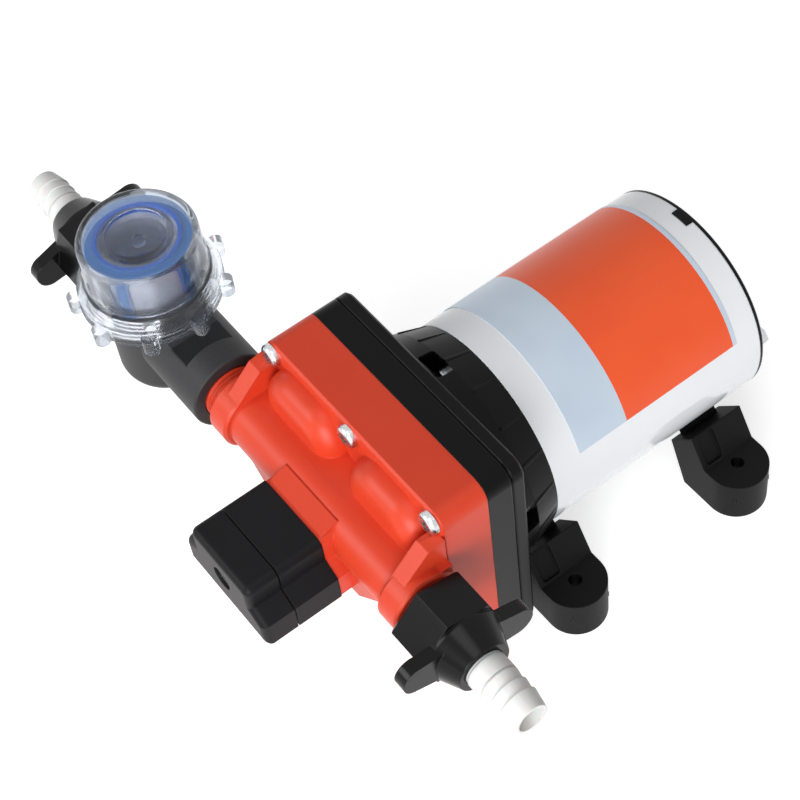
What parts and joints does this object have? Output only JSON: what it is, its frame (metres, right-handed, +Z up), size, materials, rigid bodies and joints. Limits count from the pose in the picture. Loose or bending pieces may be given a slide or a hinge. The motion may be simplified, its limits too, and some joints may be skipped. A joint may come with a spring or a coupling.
{
  "type": "diaphragm water pump",
  "caption": "Electric diaphragm water pump on rubber feet, with a pressure switch, a clear-topped inlet strainer and two hose barbs held by wing nuts.",
  "frame": {"origin": "on the floor under the rubber feet, midway between the four foot bolts", "axes": "+X from the inlet strainer towards the outlet barb, +Y from the pressure switch along the motor to its rear, +Z up"},
  "size_m": [0.2735, 0.1915, 0.1085],
  "materials": {
    "orange_plastic": "moulded, slightly soft shine",
    "black_gloss": "glossy black paint or plastic",
    "black_matte": "fine matte grain",
    "white_paint": "smooth white enamel",
    "label_film": "printed film, no wording",
    "white_plastic": "moulded nylon",
    "clear_plastic": "clear moulded bowl",
    "blue_plastic": "moulded",
    "black_rubber": "soft",
    "zinc_steel": "bright zinc",
    "screen_steel": "fine stainless mesh",
    "dark_steel": "laminations",
    "copper": "bare or enamelled copper",
    "bronze": "sintered bronze",
    "ferrite": "dull ceramic",
    "carbon": "pressed carbon"
  },
  "bodies": {
    "pump": {"upper_housing": "orange_plastic", "valve_housing": "black_gloss", "head_seal": "black_rubber", "inlet_valves": "black_rubber", "outlet_valve": "black_rubber", "diaphragm": "black_rubber", "drive_housing": "black_matte", "head_screws": "zinc_steel", "adapter_screws": "zinc_steel", "motor_can": "white_paint", "front_plate": "zinc_steel", "front_bushing": "bronze", "rear_bushing": "bronze", "motor_magnets": "ferrite", "brush_plate": "black_matte", "brushes": "carbon", "brush_springs": "zinc_steel", "end_cap": "black_gloss", "cable_grommet": "black_rubber", "through_bolts": "zinc_steel", "bolt_nuts": "zinc_steel", "motor_label": "label_film", "switch_boot": "black_matte", "switch_cap": "black_matte", "switch_diaphragm": "black_rubber", "switch_spring": "zinc_steel", "microswitch": "black_gloss", "switch_terminals": "bronze", "switch_screws": "zinc_steel", "switch_grommet": "black_rubber", "strainer_body": "black_matte", "port_seal": "black_rubber", "front_bracket": "black_matte", "rear_bracket": "black_matte", "front_feet": "black_rubber", "rear_feet": "black_rubber", "bracket_rivets": "zinc_steel"},
    "rotor": {"motor_shaft": "zinc_steel", "armature_core": "dark_steel", "windings": "copper", "commutator": "copper", "cam": "dark_steel"},
    "wobble": {"wobble_plate": "white_plastic", "cam_bearing": "zinc_steel", "pistons": "white_plastic", "piston_screws": "zinc_steel"},
    "plunger": {"switch_plunger": "white_plastic"},
    "spring_seat": {"spring_seat": "zinc_steel"},
    "adjuster": {"adjusting_screw": "zinc_steel"},
    "screen": {"screen_frame": "blue_plastic", "screen_mesh": "screen_steel"},
    "bowl_ring": {"bowl_seal": "black_rubber"},
    "bowl": {"strainer_bowl": "clear_plastic"},
    "outlet_tail": {"outlet_barb": "white_plastic", "outlet_washer": "black_rubber"},
    "outlet_wing_nut": {"outlet_nut": "black_gloss"},
    "inlet_tail": {"inlet_barb": "white_plastic", "inlet_washer": "black_rubber"},
    "inlet_wing_nut": {"inlet_nut": "black_gloss"}
  },
  "joints": [
    {"name": "shaft_spin", "type": "hinge", "parent": "pump", "child": "rotor", "pos_m": [0, 0, 0.052], "axis": [0, 1, 0], "continuous": true},
    {"name": "wobble_tilt", "type": "hinge", "parent": "pump", "child": "wobble", "pos_m": [0, -0.04425, 0.052], "axis": [1, 0, 0], "range_deg": [-3, 3], "deforming": ["diaphragm"]},
    {"name": "plunger_push", "type": "slide", "parent": "pump", "child": "plunger", "axis": [0, -1, 0], "range_m": [0, 0.0008], "stiffness_N_per_m": 1500, "springref_m": -0.002, "deforming": ["switch_spring", "switch_diaphragm"]},
    {"name": "seat_press", "type": "slide", "parent": "pump", "child": "spring_seat", "axis": [0, 1, 0], "range_m": [-0.0007, 0.0021], "deforming": ["switch_spring"]},
    {"name": "adjuster_turn", "type": "hinge", "parent": "spring_seat", "child": "adjuster", "pos_m": [0, 0, 0.0645], "axis": [0, 1, 0], "range_deg": [-360, 1080]},
    {"name": "screen_lift", "type": "slide", "parent": "pump", "child": "screen", "axis": [0, 0, 1], "range_m": [0, 0.045]},
    {"name": "bowl_rise", "type": "slide", "parent": "screen", "child": "bowl_ring", "axis": [0, 0, 1], "range_m": [0, 0.008]},
    {"name": "bowl_turn", "type": "hinge", "parent": "bowl_ring", "child": "bowl", "pos_m": [-0.0984, -0.0933, 0.068], "axis": [0, 0, 1], "range_deg": [0, 900]},
    {"name": "outlet_tail_out", "type": "slide", "parent": "pump", "child": "outlet_tail", "axis": [1, 0, 0], "range_m": [0, 0.01088]},
    {"name": "outlet_nut_turn", "type": "hinge", "parent": "outlet_tail", "child": "outlet_wing_nut", "pos_m": [0, -0.0933, 0.068], "axis": [1, 0, 0], "range_deg": [0, 2160]},
    {"name": "inlet_tail_out", "type": "slide", "parent": "pump", "child": "inlet_tail", "axis": [-1, 0, 0], "range_m": [0, 0.01088]},
    {"name": "inlet_nut_turn", "type": "hinge", "parent": "inlet_tail", "child": "inlet_wing_nut", "pos_m": [0, -0.0933, 0.068], "axis": [-1, 0, 0], "range_deg": [0, 2160]}
  ],
  "couplings": [
    {"joint": "adjuster_turn", "follows": "seat_press", "rad_per_m": 8976},
    {"joint": "bowl_turn", "follows": "bowl_rise", "rad_per_m": 1963.5},
    {"joint": "outlet_nut_turn", "follows": "outlet_tail_out", "rad_per_m": 3463.7},
    {"joint": "inlet_nut_turn", "follows": "inlet_tail_out", "rad_per_m": 3463.7}
  ]
}
